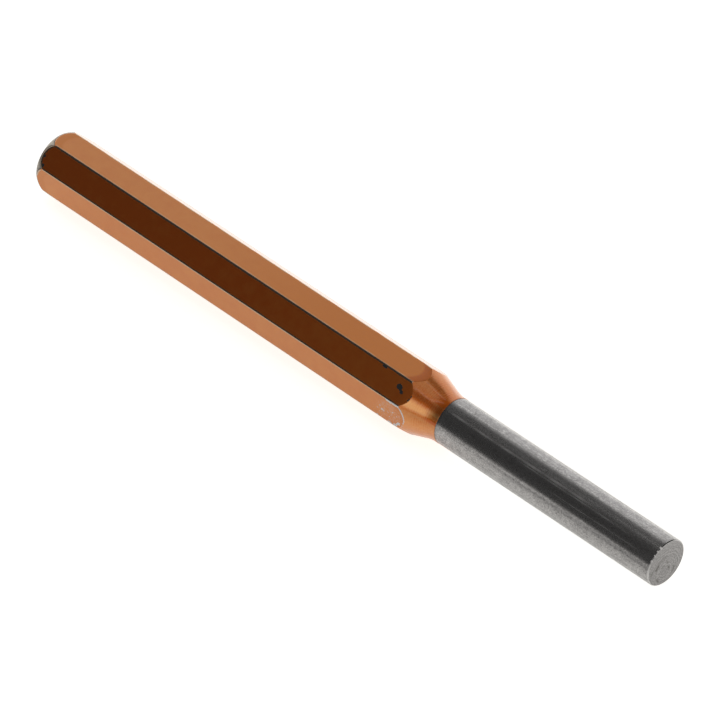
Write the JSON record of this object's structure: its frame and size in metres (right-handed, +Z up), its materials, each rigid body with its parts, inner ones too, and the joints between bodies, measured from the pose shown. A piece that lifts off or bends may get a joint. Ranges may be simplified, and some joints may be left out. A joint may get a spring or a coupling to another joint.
{
  "type": "pin punch",
  "caption": "Straight pin punch: octagonal steel shank with a bare crowned head, copper lacquer over the flats and the turned taper, and a bare ground pin, for driving pins out.",
  "frame": {"origin": "middle of the punch's length and width, on the surface it lies on", "axes": "+X along the punch from the struck head to the pin tip, +Z up from the flat it lies on"},
  "size_m": [0.15, 0.012, 0.012],
  "materials": {
    "ground_steel": "ground and lightly oiled, bare",
    "copper_lacquer": "glossy copper metallic lacquer"
  },
  "bodies": {
    "root": {"octagon_shank": "ground_steel", "drive_pin": "ground_steel", "lacquer_coat": "copper_lacquer"}
  },
  "joints": []
}
